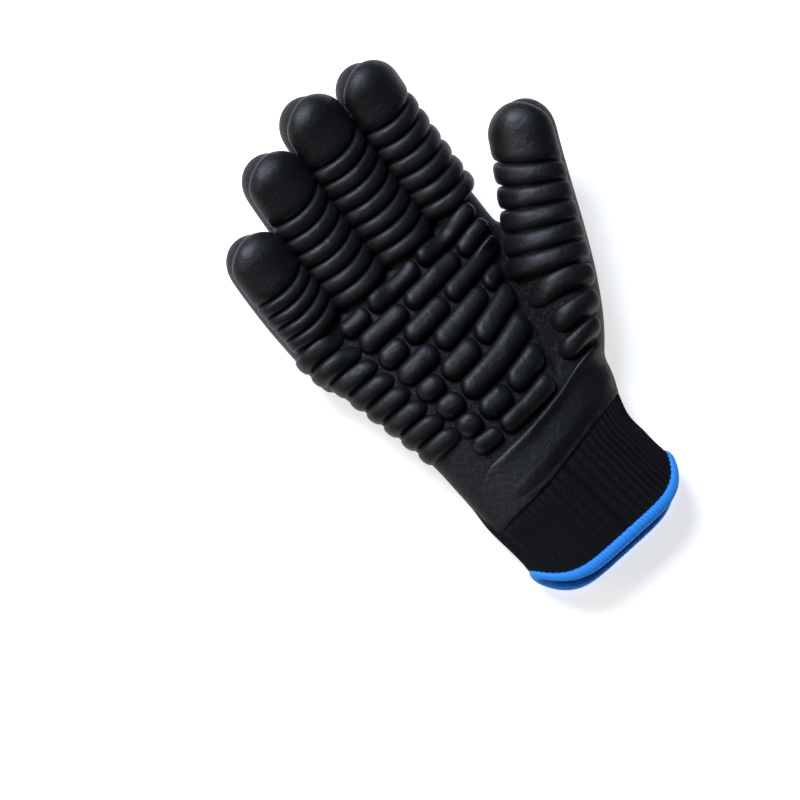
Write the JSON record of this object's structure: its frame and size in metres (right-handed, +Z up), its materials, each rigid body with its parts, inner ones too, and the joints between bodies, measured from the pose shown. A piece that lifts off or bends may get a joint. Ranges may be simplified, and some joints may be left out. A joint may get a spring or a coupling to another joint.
{
  "type": "anti vibration glove",
  "caption": "Anti vibration work glove for the right hand, palm up: knitted liner, black rubber coat with cushioned ribs and bars on the gripping side, blue overlocked hem.",
  "frame": {"origin": "bottom centre of the bounding box, on the surface the glove lies on", "axes": "+X to the thumb side, +Y from the hem to the fingertips, +Z up, the palm side facing up"},
  "size_m": [0.1654, 0.2498, 0.0578],
  "materials": {
    "rubber_coat": "satin",
    "pad_rubber": "satin",
    "knit": "matte",
    "hem_yarn": "matte"
  },
  "bodies": {
    "root": {"rubber_shell": "rubber_coat", "knit_liner": "knit", "cuff_hem": "hem_yarn", "pad_little": "pad_rubber", "pad_ring": "pad_rubber", "pad_middle": "pad_rubber", "pad_index": "pad_rubber", "pad_thumb": "pad_rubber", "bar_1_1": "pad_rubber", "bar_1_2": "pad_rubber", "bar_1_3": "pad_rubber", "bar_2_1": "pad_rubber", "bar_2_2": "pad_rubber", "bar_2_3": "pad_rubber", "bar_3_1": "pad_rubber", "bar_3_2": "pad_rubber", "bar_3_3": "pad_rubber", "bar_4_1": "pad_rubber", "bar_4_2": "pad_rubber", "bar_4_3": "pad_rubber", "bar_5_1": "pad_rubber", "bar_5_2": "pad_rubber", "bar_5_3": "pad_rubber", "bar_6_1": "pad_rubber", "bar_6_2": "pad_rubber", "bar_7_1": "pad_rubber", "bar_7_2": "pad_rubber", "bar_7_3": "pad_rubber", "bar_8_1": "pad_rubber", "bar_8_2": "pad_rubber", "thumb_bar_1": "pad_rubber", "thumb_bar_2": "pad_rubber", "thumb_bar_3": "pad_rubber", "edge_rib_1": "pad_rubber", "edge_rib_2": "pad_rubber", "edge_rib_3": "pad_rubber", "edge_rib_4": "pad_rubber", "edge_rib_5": "pad_rubber", "edge_rib_6": "pad_rubber", "edge_rib_7": "pad_rubber", "edge_rib_8": "pad_rubber", "heel_pad": "pad_rubber"}
  },
  "joints": []
}
